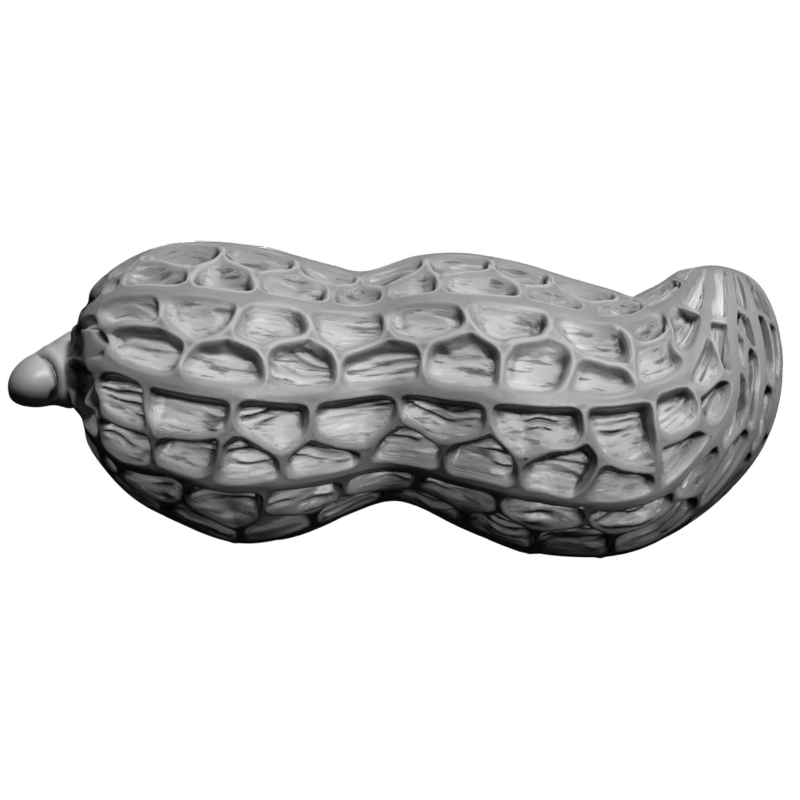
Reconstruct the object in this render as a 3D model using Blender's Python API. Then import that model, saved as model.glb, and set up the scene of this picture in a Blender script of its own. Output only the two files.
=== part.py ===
# Peanut in its shell: a two-lobed pod with a short stem stub at one end and a blunt
# up-curled beak at the other, netted all over with raised ribs, septa and sunk cells.
# Metres in the file, millimetres in the tables. +X runs from the stub to the beak, +Z is up,
# and the pod is symmetric in outline about the XZ plane. It stands on four small flats.

import math

import bmesh
import bpy
import numpy as np

MM = 0.001

# Driving dimensions, in millimetres.
RIB_HALF = 0.38        # half width of the flat top of a lengthwise rib
NET_HALF = 0.17        # half width of the top of a septum or of a zig-zag ridge
WALL_STEEP = 0.34      # width of the cell wall on its upper side
WALL_GENTLE = 0.90     # width of the cell wall on its lower side
CELL_DEPTH = 0.62      # how far a cell floor lies under the ribs, halfway up the cell
CELL_TILT = 0.45       # how much more at its upper wall than at its lower one, as a share
FLAT_DEPTH = 0.18      # how much of the lowest ribs is cut off as resting flats
NET_START = 0.35       # the net begins this far along the shell
NET_END = 44.2         # and fades out here, at the smooth cap of the beak
RIB_COUNT = 10
BAND_STEPS = 26        # mesh columns between two ribs
ROWS = 330             # mesh rows from the stub to the beak
TRIANGLES = 11780      # what the finished node is simplified to

# Sections from the stub's tip to the beak: middle x, middle z, lean of the section toward -X
# in degrees, half height, half width.
STATIONS = [
    (-23.34, 0.02, -8, 0.00, 0.00),
    (-23.14, 0.04, -8, 0.90, 0.90),
    (-22.40, 0.20, -4, 1.48, 1.48),
    (-21.50, 0.48, 0, 1.75, 1.75),
    (-20.70, 0.82, 0, 1.98, 1.98),
    (-20.05, 0.98, 1, 2.26, 2.26),
    (-19.58, 1.05, 2, 2.42, 2.42),
    (-19.34, 1.07, 2, 2.62, 2.62),
    (-18.96, 1.16, 2, 3.74, 3.74),
    (-17.56, 1.00, 2, 5.62, 5.50),
    (-15.38, 0.72, 2, 7.40, 7.10),
    (-12.65, 0.44, 3, 8.49, 8.07),
    (-9.36, 0.01, 3, 9.00, 8.55),
    (-5.76, 0.09, 3, 8.30, 7.86),
    (-3.03, 0.41, 4, 7.31, 6.94),
    (-1.13, 0.83, 6, 6.95, 6.60),
    (0.90, 1.03, 5, 7.54, 7.16),
    (3.75, 0.63, 4, 8.32, 7.90),
    (7.15, -0.16, 3, 8.64, 8.20),
    (10.41, -0.69, 4, 8.36, 7.94),
    (13.01, -0.74, 7, 7.89, 7.50),
    (15.08, -0.08, 16, 7.12, 6.77),
    (16.61, 0.95, 27, 6.46, 6.20),
    (17.67, 2.32, 39, 5.89, 5.71),
    (18.39, 3.70, 48, 5.22, 5.12),
    (18.80, 5.05, 57, 4.48, 4.38),
    (19.01, 6.46, 66, 3.63, 3.53),
    (19.02, 7.66, 74, 2.71, 2.62),
    (18.93, 8.44, 82, 1.56, 1.52),
    (18.82, 8.77, 82, 0.00, 0.00),
]
SHELL_STATION = 7.4    # the station, counted from 0, where the stub ends and the shell starts

# Rib k stands 36 k degrees round from the side that faces -Y, counted upward. Each row gives a
# distance along the shell and how far ribs 0 to 9 swing from those even places, in degrees.
RIB_SWING = [
    (0.0, 3, 0, 0, 0, 0, -3, 0, 0, 0, -3),
    (4.0, 3, 2, 0, 0, -2, -3, 0, 0, -2, -5),
    (6.5, 0, 0, 0, 0, 0, 0, 0, 0, 0, 1),
    (12.0, 0, 1, 0, 0, -1, 0, 0, 0, 0, 2),
    (19.0, -3, 2, 2, -2, -2, 3, 5, 1, -1, -6),
    (22.0, -3, 1, 1, -1, -1, 3, 3, 0, 0, -3),
    (27.0, 3, 5, 3, -3, -5, -3, -2, -2, 2, 3),
    (31.0, 8, 7, 4, -4, -7, -7, -3, -2, 2, 3),
    (33.5, 13, 10, 5, -4, -7, -8, 2, 3, 4, 5),
    (35.5, 13, 17, 6, -4, -8, -6, 12, 13, 14, 13),
    (37.2, 19, 16, 6, -4, -6, 0, 20, 24, 24, 22),
    (39.2, 23, 12, 5, -3, -2, 10, 26, 34, 34, 31),
    (42.4, 28, 10, 4, 0, 2, 18, 35, 48, 49, 42),
    (45.0, 36, 14, 5, 0, 4, 20, 38, 50, 52, 42),
]

# The net of each band between two ribs. "cross" lists ridges that span the whole band, by
# their place along the shell at the lower and at the upper rib. "low" and "up" list the septa
# that rise from the lower or hang from the upper rib: place of the foot on the rib, place of
# the other end, and how far across the band that end lies. The zig-zag ridge joins those
# ends in order; "run" says where it starts and stops.
BAND_NETS = {
    0: {
        "cross": [(2.6, 2.9), (40.4, 39.4)],
        "run": (2.8, 36.7),
        "up": [
            (6.4, 6.6, 0.59), (11.1, 10.2, 0.54), (14.3, 14.6, 0.62), (19.0, 18.9, 0.58),
            (23.0, 23.3, 0.62), (27.9, 27.9, 0.68), (32.1, 32.9, 0.60), (37.2, 35.9, 0.48),
        ],
        "low": [
            (4.0, 4.2, 0.40), (6.9, 8.3, 0.44), (12.5, 12.0, 0.43), (16.1, 16.1, 0.41),
            (20.6, 20.8, 0.45), (24.8, 25.1, 0.49), (27.9, 29.2, 0.50), (32.7, 32.3, 0.34),
            (36.2, 36.7, 0.16),
        ],
    },
    1: {
        "cross": [(2.4, 2.4), (40.6, 41.4)],
        "run": (2.4, 40.8),
        "up": [
            (4.6, 4.4, 0.60), (9.2, 9.4, 0.60), (13.4, 13.6, 0.58), (17.4, 17.3, 0.58),
            (21.3, 21.1, 0.56), (24.9, 24.8, 0.54), (28.6, 28.4, 0.48), (33.4, 33.0, 0.56),
            (38.3, 38.3, 0.58),
        ],
        "low": [
            (3.8, 3.5, 0.44), (7.8, 8.0, 0.35), (11.7, 11.5, 0.38), (15.6, 15.6, 0.38),
            (18.9, 18.9, 0.34), (21.7, 22.0, 0.34), (26.3, 26.3, 0.34), (30.1, 30.1, 0.28),
            (35.6, 35.8, 0.36),
        ],
    },
    2: {
        "cross": [(2.7, 2.7), (41.0, 41.2)],
        "run": (2.7, 41.1),
        "up": [
            (5.0, 4.9, 0.61), (9.4, 9.6, 0.60), (13.6, 13.5, 0.62), (18.2, 18.4, 0.60),
            (22.8, 22.7, 0.58), (27.1, 27.3, 0.62), (31.4, 31.2, 0.60), (37.4, 37.2, 0.60),
        ],
        "low": [
            (7.2, 7.3, 0.40), (11.6, 11.5, 0.38), (15.6, 15.8, 0.41), (20.5, 20.4, 0.40),
            (25.0, 25.2, 0.38), (29.2, 29.0, 0.40), (34.6, 34.4, 0.40), (39.4, 39.4, 0.40),
        ],
    },
    7: {
        "cross": [(2.5, 2.6), (41.4, 41.2)],
        "run": (2.6, 41.3),
        "up": [
            (5.2, 5.1, 0.60), (9.4, 9.5, 0.62), (13.7, 13.6, 0.60), (18.0, 18.1, 0.58),
            (22.4, 22.3, 0.61), (26.8, 26.9, 0.60), (31.2, 31.0, 0.62), (34.8, 34.9, 0.60),
            (37.6, 37.8, 0.60), (40.0, 40.1, 0.58),
        ],
        "low": [
            (7.4, 7.3, 0.39), (11.6, 11.7, 0.40), (15.8, 15.7, 0.42), (20.2, 20.3, 0.38),
            (24.6, 24.5, 0.40), (29.0, 29.1, 0.39), (33.1, 33.0, 0.41), (36.3, 36.4, 0.40),
            (38.9, 38.9, 0.41),
        ],
    },
    8: {
        "cross": [(2.3, 2.2), (41.0, 41.5)],
        "run": (2.3, 41.2),
        "up": [
            (3.5, 3.4, 0.61), (7.5, 7.3, 0.58), (11.9, 11.8, 0.61), (16.1, 16.0, 0.55),
            (20.0, 20.1, 0.58), (24.7, 24.8, 0.68), (29.6, 29.8, 0.70), (33.9, 34.1, 0.66),
            (36.5, 36.5, 0.63), (39.2, 39.3, 0.60),
        ],
        "low": [
            (5.7, 5.8, 0.42), (10.1, 10.1, 0.38), (14.4, 14.5, 0.43), (18.2, 18.3, 0.36),
            (22.8, 22.7, 0.44), (27.2, 27.1, 0.48), (31.5, 31.3, 0.52), (35.0, 35.2, 0.42),
            (37.8, 38.0, 0.40),
        ],
    },
    9: {
        "cross": [(2.5, 2.7), (41.2, 40.4)],
        "run": (2.7, 39.6),
        "up": [
            (5.6, 5.9, 0.44), (10.5, 10.5, 0.63), (14.6, 14.6, 0.55), (19.1, 19.1, 0.58),
            (24.0, 24.2, 0.63), (29.3, 29.4, 0.64), (33.1, 33.6, 0.48), (35.8, 36.4, 0.60),
            (39.7, 39.6, 0.86),
        ],
        "low": [
            (5.9, 6.0, 0.38), (8.8, 10.3, 0.59), (13.0, 13.1, 0.33), (17.0, 17.4, 0.28),
            (21.4, 21.6, 0.40), (25.8, 25.9, 0.39), (29.1, 30.4, 0.47), (33.1, 33.2, 0.25),
            (36.6, 35.9, 0.30), (38.8, 38.2, 0.37),
        ],
    },
}
# The far side repeats the near side in mirror image, moved along so the cells do not face.
FAR_BANDS = {3: 1, 4: 0, 5: 9, 6: 8}
FAR_SHIFT = 1.7


def spline_moments(values):
    """Second differences of a smooth curve through evenly numbered rows."""
    count = len(values)
    matrix = np.zeros((count, count))
    right = np.zeros_like(values)
    matrix[0, 0] = matrix[-1, -1] = 1.0
    for i in range(1, count - 1):
        matrix[i, i - 1:i + 2] = (1.0, 4.0, 1.0)
        right[i] = 6.0 * (values[i + 1] - 2.0 * values[i] + values[i - 1])
    return np.linalg.solve(matrix, right)


def mirrored_ends(rows):
    """The stations run on past both tips with the radii turned over, so the tips are round."""
    before = rows[2:0:-1].copy()
    after = rows[-2:-4:-1].copy()
    before[:, 3:] *= -1.0
    after[:, 3:] *= -1.0
    return np.concatenate([before, rows, after])


KNOTS = mirrored_ends(np.array(STATIONS, float))
MOMENTS = spline_moments(KNOTS)


def section_at(t):
    """Middle x, middle z, lean, half height and half width at station number t."""
    t = np.asarray(t, float) + 2.0
    i = np.clip(np.floor(t).astype(int), 0, len(KNOTS) - 2)
    f = (t - i)[..., None]
    g = 1.0 - f
    return (g * KNOTS[i] + f * KNOTS[i + 1]
            + (g ** 3 - g) * MOMENTS[i] / 6.0 + (f ** 3 - f) * MOMENTS[i + 1] / 6.0)


def place(t, angle):
    """Points of the smooth pod at station number t and angle round, in millimetres."""
    section = section_at(t)
    lean = np.radians(section[..., 2])
    rise = section[..., 3] * np.sin(angle)
    return np.stack([
        section[..., 0] - np.sin(lean) * rise,
        -section[..., 4] * np.cos(angle),
        section[..., 1] + np.cos(lean) * rise,
    ], axis=-1)


def rib_angles(s, q):
    """Angle round in radians for rib coordinate q, which is k on rib k, at distance s."""
    swing = np.array(RIB_SWING, float)
    columns = np.stack(
        [np.interp(s, swing[:, 0], swing[:, k + 1]) for k in range(RIB_COUNT)], axis=-1)
    low = np.floor(q).astype(int)
    part = q - low
    shift = columns[:, low % RIB_COUNT] * (1.0 - part) + columns[:, (low + 1) % RIB_COUNT] * part
    return np.radians(360.0 / RIB_COUNT * q[None, :] + shift)


def band_net(band):
    """Cross ridges, septa and zig-zag of one band as plain lists."""
    if band in BAND_NETS:
        return BAND_NETS[band]
    near = BAND_NETS[FAR_BANDS[band]]

    def moved(s):
        return s + FAR_SHIFT * math.sin(math.pi * min(max(s / 44.0, 0.0), 1.0))

    def turned(septa):
        return [(moved(foot), moved(end), 1.0 - across) for foot, end, across in septa]

    return {
        "cross": [(moved(upper), moved(lower)) for lower, upper in near["cross"]],
        "run": tuple(moved(s) for s in near["run"]),
        "up": turned(near["low"]),
        "low": turned(near["up"]),
    }


def segment_distance(s, f, along, across, start, end):
    """Distance in millimetres from surface points to one straight ridge of the net."""
    px = (s - start[0]) * along
    py = (f - start[1]) * across
    dx = (end[0] - start[0]) * along
    dy = (end[1] - start[1]) * across
    t = np.clip((px * dx + py * dy) / np.maximum(dx * dx + dy * dy, 1e-9), 0.0, 1.0)
    return np.hypot(px - t * dx, py - t * dy)


def smooth_step(x):
    x = np.clip(x, 0.0, 1.0)
    return x * x * (3.0 - 2.0 * x)


def smooth_min(a, b, blend):
    """The lesser of two values with a round corner where they cross."""
    h = np.clip(0.5 + 0.5 * (b - a) / blend, 0.0, 1.0)
    return b + (a - b) * h - blend * h * (1.0 - h)


def sunk_depth(s, f, along, across, band, front):
    """How far the surface of one band is sunk under its ribs, in millimetres."""
    net = band_net(band)
    run_start, run_end = net["run"]
    ends = sorted([(end, part) for _, end, part in net["up"] + net["low"]])
    path = [(run_start, 0.5)] + [p for p in ends if run_start < p[0] <= run_end]
    if run_end > path[-1][0] + 0.3:
        path.append((run_end, 0.5))

    middle = np.interp(s, [p[0] for p in path], [p[1] for p in path])
    above = f - middle
    ridges = np.full(np.broadcast(s, f).shape, 9.0)
    for start, end in zip(path[:-1], path[1:]):
        ridges = np.minimum(ridges, segment_distance(s, f, along, across, start, end))
    septa = np.full(ridges.shape, 9.0)
    for foot, end, part in net["low"]:
        septa = np.minimum(
            septa, segment_distance(s, f, along, across, (foot, 0.0), (end, part)))
    for foot, end, part in net["up"]:
        septa = np.minimum(
            septa, segment_distance(s, f, along, across, (foot, 1.0), (end, part)))
    for lower, upper in net["cross"]:
        septa = np.minimum(
            septa, segment_distance(s, f, along, across, (lower, 0.0), (upper, 1.0)))

    # The upper wall of a cell is steep and the lower one gentle; front is 1 where the way
    # up is toward the upper rib of the band and -1 on the far side.
    mean = 0.5 * (WALL_STEEP + WALL_GENTLE)
    half = 0.5 * (WALL_GENTLE - WALL_STEEP)
    wall_under_upper_rib = mean - half * front
    wall_over_lower_rib = mean + half * front
    zigzag_wall = mean + half * front * np.sign(above)
    to_upper = ((1.0 - f) * across - RIB_HALF) / wall_under_upper_rib
    to_lower = (f * across - RIB_HALF) / wall_over_lower_rib
    to_zigzag = (ridges - NET_HALF) / zigzag_wall
    to_septa = (septa - NET_HALF) / 0.42
    depth = smooth_min(to_upper, to_lower, 0.5)
    depth = smooth_min(depth, to_zigzag, 0.5)
    depth = smooth_min(depth, to_septa, 0.6)
    up_cell = np.where(above > 0.0, above / np.maximum(1.0 - middle, 0.1),
                       f / np.maximum(middle, 0.1))
    tilt = (np.clip(up_cell, 0.0, 1.0) - 0.5) * front
    return smooth_step(depth * 0.9) * (1.0 + CELL_TILT * tilt)


def pod_points():
    """Rows of points from the stub's tip to the beak, and their columns round the pod."""
    fine = np.linspace(0.0, len(STATIONS) - 1.0, 6000)
    middle = section_at(fine)
    steps = np.hypot(np.diff(middle[:, 0]), np.diff(middle[:, 1]))
    centre_run = np.concatenate([[0.0], np.cumsum(steps)])
    centre_run -= np.interp(SHELL_STATION, fine, centre_run)

    side = place(fine, np.zeros_like(fine))
    outline_run = np.concatenate(
        [[0.0], np.cumsum(np.linalg.norm(np.diff(side, axis=0), axis=1))])
    t = np.interp(np.linspace(0.0, outline_run[-1], ROWS + 1), outline_run, fine)
    s = np.interp(t, fine, centre_run)

    columns = RIB_COUNT * BAND_STEPS
    q = np.arange(columns) / BAND_STEPS
    angle = rib_angles(s, q)
    smooth = place(np.repeat(t[:, None], columns, axis=1), angle)

    down = np.gradient(smooth, axis=0)
    round_it = np.roll(smooth, -1, axis=1) - np.roll(smooth, 1, axis=1)
    along = np.linalg.norm(down, axis=2) / np.maximum(np.gradient(s), 1e-6)[:, None]
    across = np.linalg.norm(round_it, axis=2) * BAND_STEPS / 2.0
    normal = np.cross(down, round_it)
    normal /= np.maximum(np.linalg.norm(normal, axis=2, keepdims=True), 1e-9)

    sunk = np.zeros(smooth.shape[:2])
    front = np.cos(angle)
    front = np.clip(front * 2.5, -1.0, 1.0)
    for band in range(RIB_COUNT):
        part = slice(band * BAND_STEPS, (band + 1) * BAND_STEPS)
        f = (q[part] - band)[None, :]
        sunk[:, part] = sunk_depth(
            s[:, None], f, along[:, part], across[:, part], band, front[:, part])
    fade = smooth_step((s - NET_START) / 0.5) * smooth_step((NET_END - s) / 0.9)
    room = smooth_step((across - 0.9) / 1.4)
    depth = CELL_DEPTH * sunk * fade[:, None] * room

    # A groove parts the stub's rounded end from its neck, deepest at the front and below.
    groove = np.exp(-((s + 1.05 + 0.2 * np.sin(angle[:, 0])) / 0.16) ** 2)
    turn = 0.55 - 0.45 * np.sin(angle)
    depth = depth + 0.24 * groove[:, None] * turn
    # The neck meets the shell in a crease.
    crease = np.exp(-((s[:, None] - 0.25) / 0.35) ** 2)
    depth = depth + 0.45 * crease * (0.75 + 0.25 * np.sin(3.0 * angle + 1.0))
    return smooth - normal * depth[..., None]


def empty_scene():
    for item in list(bpy.data.objects):
        bpy.data.objects.remove(item, do_unlink=True)


def pod_mesh():
    points = pod_points()
    columns = points.shape[1]
    low = points[..., 2].min()
    middle_x = 0.5 * (points[..., 0].min() + points[..., 0].max())
    points = points - np.array([middle_x, 0.0, low + FLAT_DEPTH])

    ball = bmesh.new()
    bmesh.ops.create_uvsphere(ball, u_segments=columns, v_segments=ROWS, radius=1.0)
    for vertex in ball.verts:
        x, y, z = vertex.co
        row = round(math.acos(max(-1.0, min(1.0, z))) / math.pi * ROWS)
        column = round(math.atan2(y, x) / (2.0 * math.pi) * columns) % columns
        if row in (0, ROWS):
            column = 0
        vertex.co = points[row, column] * MM
    bmesh.ops.recalc_face_normals(ball, faces=ball.faces)
    mesh = bpy.data.meshes.new("peanut_fine")
    ball.to_mesh(mesh)
    ball.free()
    return mesh


def simplified(mesh, triangles):
    """The mesh brought down to about that many triangles, its creases kept."""
    carrier = bpy.data.objects.new("carrier", mesh)
    bpy.context.scene.collection.objects.link(carrier)
    fewer = carrier.modifiers.new("fewer", "DECIMATE")
    mesh.calc_loop_triangles()
    fewer.ratio = triangles / len(mesh.loop_triangles)
    view = bpy.context.evaluated_depsgraph_get()
    result = bpy.data.meshes.new_from_object(carrier.evaluated_get(view))
    bpy.data.objects.remove(carrier, do_unlink=True)
    return result


def cut_flats(mesh):
    """Everything under the floor plane is cut off and the cuts are closed flat."""
    work = bmesh.new()
    work.from_mesh(mesh)
    everything = work.verts[:] + work.edges[:] + work.faces[:]
    bmesh.ops.bisect_plane(
        work, geom=everything, plane_co=(0.0, 0.0, 0.0), plane_no=(0.0, 0.0, 1.0),
        clear_inner=True, dist=1e-7)
    open_edges = [edge for edge in work.edges if edge.is_boundary]
    bmesh.ops.holes_fill(work, edges=open_edges, sides=0)
    bmesh.ops.recalc_face_normals(work, faces=work.faces)
    work.to_mesh(mesh)
    work.free()


def shell_material():
    material = bpy.data.materials.new("peanut_shell")
    material.use_nodes = True
    surface = material.node_tree.nodes["Principled BSDF"]
    surface.inputs["Base Color"].default_value = (0.34, 0.34, 0.34, 1.0)
    surface.inputs["Roughness"].default_value = 0.55
    surface.inputs["Metallic"].default_value = 0.0
    material.diffuse_color = (0.34, 0.34, 0.34, 1.0)
    return material


def build():
    empty_scene()
    mesh = simplified(pod_mesh(), TRIANGLES)
    cut_flats(mesh)
    mesh.name = "peanut"
    mesh.materials.clear()
    mesh.materials.append(shell_material())
    node = bpy.data.objects.new("peanut", mesh)
    collection = bpy.data.collections.new("peanut")
    bpy.context.scene.collection.children.link(collection)
    collection.objects.link(node)


build()
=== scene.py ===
import math
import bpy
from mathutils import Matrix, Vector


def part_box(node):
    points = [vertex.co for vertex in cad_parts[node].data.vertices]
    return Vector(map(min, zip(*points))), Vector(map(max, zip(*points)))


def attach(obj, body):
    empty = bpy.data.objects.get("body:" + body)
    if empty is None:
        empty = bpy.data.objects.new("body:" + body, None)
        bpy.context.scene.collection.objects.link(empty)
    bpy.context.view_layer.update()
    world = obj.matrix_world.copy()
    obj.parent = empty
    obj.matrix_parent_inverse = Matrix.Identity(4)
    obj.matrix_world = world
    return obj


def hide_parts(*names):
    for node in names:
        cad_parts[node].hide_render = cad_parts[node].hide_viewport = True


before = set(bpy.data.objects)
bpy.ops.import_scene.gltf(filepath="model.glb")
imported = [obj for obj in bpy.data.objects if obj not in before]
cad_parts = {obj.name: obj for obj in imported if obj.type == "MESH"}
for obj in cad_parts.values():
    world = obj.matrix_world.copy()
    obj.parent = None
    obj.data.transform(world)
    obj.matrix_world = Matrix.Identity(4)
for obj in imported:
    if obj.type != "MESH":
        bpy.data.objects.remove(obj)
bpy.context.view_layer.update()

from types import SimpleNamespace

import bpy
import numpy as np
from mathutils import Matrix, Vector

mm = 0.001

# Sections of the pod from the tip of its stem stub to its beak, in millimetres: middle x,
# middle z, lean toward -X in degrees, half height, half width.
stations = np.array([
    (-23.34, 0.02, -8, 0.00, 0.00),
    (-23.14, 0.04, -8, 0.90, 1.00),
    (-22.40, 0.20, -4, 1.48, 1.74),
    (-21.50, 0.48, 0, 1.75, 2.02),
    (-20.70, 0.82, 0, 1.98, 1.92),
    (-20.05, 0.98, 1, 2.26, 1.94),
    (-19.58, 1.05, 2, 2.42, 2.02),
    (-19.34, 1.07, 2, 2.62, 2.62),
    (-18.96, 1.16, 2, 3.74, 3.74),
    (-17.56, 1.00, 2, 5.62, 5.50),
    (-15.38, 0.72, 2, 7.40, 7.10),
    (-12.65, 0.44, 3, 8.49, 8.07),
    (-9.36, 0.01, 3, 9.00, 8.55),
    (-5.76, 0.09, 3, 8.30, 7.86),
    (-3.03, 0.41, 4, 7.31, 6.94),
    (-1.13, 0.83, 6, 6.95, 6.60),
    (0.90, 1.03, 5, 7.54, 7.16),
    (3.75, 0.63, 4, 8.32, 7.90),
    (7.15, -0.16, 3, 8.64, 8.20),
    (10.41, -0.69, 4, 8.36, 7.94),
    (13.01, -0.74, 7, 7.89, 7.50),
    (15.08, -0.08, 16, 7.12, 6.77),
    (16.61, 0.95, 27, 6.46, 6.20),
    (17.67, 2.32, 39, 5.89, 5.71),
    (18.39, 3.70, 48, 5.22, 5.12),
    (18.80, 5.05, 57, 4.48, 4.38),
    (19.01, 6.46, 66, 3.63, 3.53),
    (19.02, 7.66, 74, 2.71, 2.62),
    (18.93, 8.44, 82, 1.56, 1.52),
    (18.82, 8.77, 82, 0.00, 0.00),
], float)

# How far ribs 0 to 9 swing from their even 36 degree places, by distance along the shell.
ribSwing = np.array([
    (0.0, 3, 0, 0, 0, 0, -3, 0, 0, 0, -3),
    (4.0, 3, 2, 0, 0, -2, -3, 0, 0, -2, -5),
    (6.5, 0, 0, 0, 0, 0, 0, 0, 0, 0, 1),
    (12.0, 0, 1, 0, 0, -1, 0, 0, 0, 0, 2),
    (19.0, -3, 2, 2, -2, -2, 3, 5, 1, -1, -6),
    (22.0, -3, 1, 1, -1, -1, 3, 3, 0, 0, -3),
    (27.0, 3, 5, 3, -3, -5, -3, -2, -2, 2, 3),
    (31.0, 8, 7, 4, -4, -7, -7, -3, -2, 2, 3),
    (33.5, 13, 13, 6, -4, -7, -8, 2, 3, 4, 5),
    (35.5, 13, 20, 7, -4, -8, -6, 12, 13, 14, 13),
    (37.2, 18, 19, 7, -4, -6, 0, 20, 24, 25, 18.5),
    (38.4, 19.5, 17, 6.5, -3.5, -3.5, 6, 24, 31, 33, 23.5),
    (39.2, 21, 15, 6, -3, -2, 10, 27, 36, 40, 31),
    (40.2, 24, 14, 5.5, -2, -0.5, 12.5, 30.5, 41.5, 45, 38),
    (41.3, 27, 13, 5.5, -1, 0.5, 15, 34, 48, 51, 42),
    (42.6, 28, 12.5, 5, 0, 2, 18, 38.5, 54, 58, 42),
    (45.0, 36, 16, 5, 0, 4, 20, 42, 57, 61, 42),
], float)

# The net of each band between two ribs: cross ridges by their place on the lower and the upper
# rib, the run of the zig-zag, and the septa under the upper rib and over the lower one, each
# as place of the foot, place of the other end, and how far across the band that end lies.
bandNets = {
    0: {
        "cross": [(3.7, 2.0), (40.4, 39.4)],
        "run": (2.9, 36.7),
        "up": [
            (6.4, 6.6, 0.59), (11.1, 10.2, 0.54), (14.3, 14.6, 0.62), (19.0, 18.9, 0.58),
            (23.0, 23.3, 0.62), (27.9, 27.9, 0.68), (32.1, 32.9, 0.60), (39.0, 36.4, 0.50),
        ],
        "low": [
            (7.3, 8.3, 0.44), (12.5, 12.0, 0.43), (16.1, 16.1, 0.41),
            (20.6, 20.8, 0.45), (24.8, 25.1, 0.49), (27.9, 29.2, 0.50), (32.7, 32.3, 0.34),
            (36.9, 36.5, 0.30),
        ],
    },
    1: {
        "cross": [(2.4, 2.4), (36.2, 35.4), (42.6, 42.9)],
        "run": (2.4, 35.8),
        "up": [
            (4.6, 4.4, 0.60), (9.2, 9.4, 0.60), (13.4, 13.6, 0.58), (17.4, 17.3, 0.58),
            (21.3, 21.1, 0.56), (24.9, 24.8, 0.54), (28.6, 28.4, 0.48), (33.2, 33.0, 0.56),
        ],
        "low": [
            (3.8, 3.5, 0.44), (7.8, 8.0, 0.35), (11.7, 11.5, 0.38), (15.6, 15.6, 0.38),
            (18.9, 18.9, 0.34), (21.7, 22.0, 0.34), (26.3, 26.3, 0.34), (30.1, 30.1, 0.28),
        ],
    },
    2: {
        "cross": [(2.7, 2.7), (41.0, 41.2)],
        "run": (2.7, 41.1),
        "up": [
            (5.0, 4.9, 0.61), (9.4, 9.6, 0.60), (13.6, 13.5, 0.62), (18.2, 18.4, 0.60),
            (22.8, 22.7, 0.58), (27.1, 27.3, 0.62), (31.4, 31.2, 0.60), (37.4, 37.2, 0.60),
        ],
        "low": [
            (7.2, 7.3, 0.40), (11.6, 11.5, 0.38), (15.6, 15.8, 0.41), (20.5, 20.4, 0.40),
            (25.0, 25.2, 0.38), (29.2, 29.0, 0.40), (34.6, 34.4, 0.40), (39.4, 39.4, 0.40),
        ],
    },
    7: {
        "cross": [(2.5, 2.6), (42.6, 42.7)],
        "run": (2.6, 42.6),
        "up": [
            (5.2, 5.1, 0.60), (9.4, 9.5, 0.62), (13.7, 13.6, 0.60), (18.0, 18.1, 0.58),
            (22.4, 22.3, 0.61), (26.8, 26.9, 0.60), (31.2, 31.0, 0.62), (34.8, 34.9, 0.60),
            (37.6, 37.8, 0.60), (40.0, 40.1, 0.44),
        ],
        "low": [
            (7.4, 7.3, 0.39), (11.6, 11.7, 0.40), (15.8, 15.7, 0.42), (20.2, 20.3, 0.38),
            (24.6, 24.5, 0.40), (29.0, 29.1, 0.39), (33.1, 33.0, 0.41), (36.3, 36.4, 0.40),
            (38.9, 38.9, 0.41),
        ],
    },
    8: {
        "cross": [(2.3, 2.2), (40.6, 41.2), (42.1, 42.4)],
        "run": (2.3, 40.9),
        "up": [
            (3.5, 3.4, 0.61), (7.5, 7.3, 0.58), (11.9, 11.8, 0.61), (16.1, 16.0, 0.55),
            (20.0, 20.1, 0.58), (24.7, 24.8, 0.68), (29.6, 29.8, 0.70), (33.9, 34.1, 0.66),
            (36.5, 36.5, 0.63), (39.2, 39.3, 0.60),
        ],
        "low": [
            (5.7, 5.8, 0.42), (10.1, 10.1, 0.38), (14.4, 14.5, 0.43), (18.2, 18.3, 0.36),
            (22.8, 22.7, 0.44), (27.2, 27.1, 0.48), (31.5, 31.3, 0.52), (35.0, 35.2, 0.42),
            (37.8, 38.0, 0.40),
        ],
    },
    9: {
        "cross": [(2.5, 2.7), (41.2, 40.4)],
        "run": (0.8, 39.6),
        "up": [
            (5.6, 5.9, 0.44), (10.5, 10.5, 0.63), (14.6, 14.6, 0.55), (19.1, 19.1, 0.58),
            (24.0, 24.2, 0.63), (29.3, 29.4, 0.64), (33.1, 33.6, 0.48), (35.8, 36.4, 0.60),
            (39.7, 39.6, 0.86),
        ],
        "low": [
            (5.9, 6.0, 0.38), (8.8, 10.3, 0.59), (13.0, 13.1, 0.33), (17.0, 17.4, 0.28),
            (21.4, 21.6, 0.40), (25.8, 25.9, 0.39), (29.1, 30.4, 0.47), (33.1, 33.2, 0.25),
            (36.6, 35.9, 0.30), (38.8, 38.2, 0.37),
        ],
    },
}

# Pits round the stub's root, sunk and darkened with painted shade: place along the shell,
# rib coordinate, half lengths along and round, and how much of a band the pit slants per
# millimetre.
pits = [
    (1.35, -0.12, 0.70, 0.20, 0.0), (2.0, -0.38, 0.85, 0.20, -0.10),
    (2.9, 0.42, 0.55, 0.07, -0.20), (1.0, 0.68, 0.36, 0.12, 0.0),
    (1.1, 1.30, 0.50, 0.25, 0.0), (1.3, -1.40, 0.45, 0.20, 0.0),
    (1.2, 4.60, 0.60, 0.20, 0.1), (1.3, 3.70, 0.50, 0.22, 0.0),
    (1.4, -4.20, 0.60, 0.20, 0.1), (1.2, -3.20, 0.50, 0.22, 0.0),
    (1.3, -2.30, 0.50, 0.20, 0.0),
]

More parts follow.
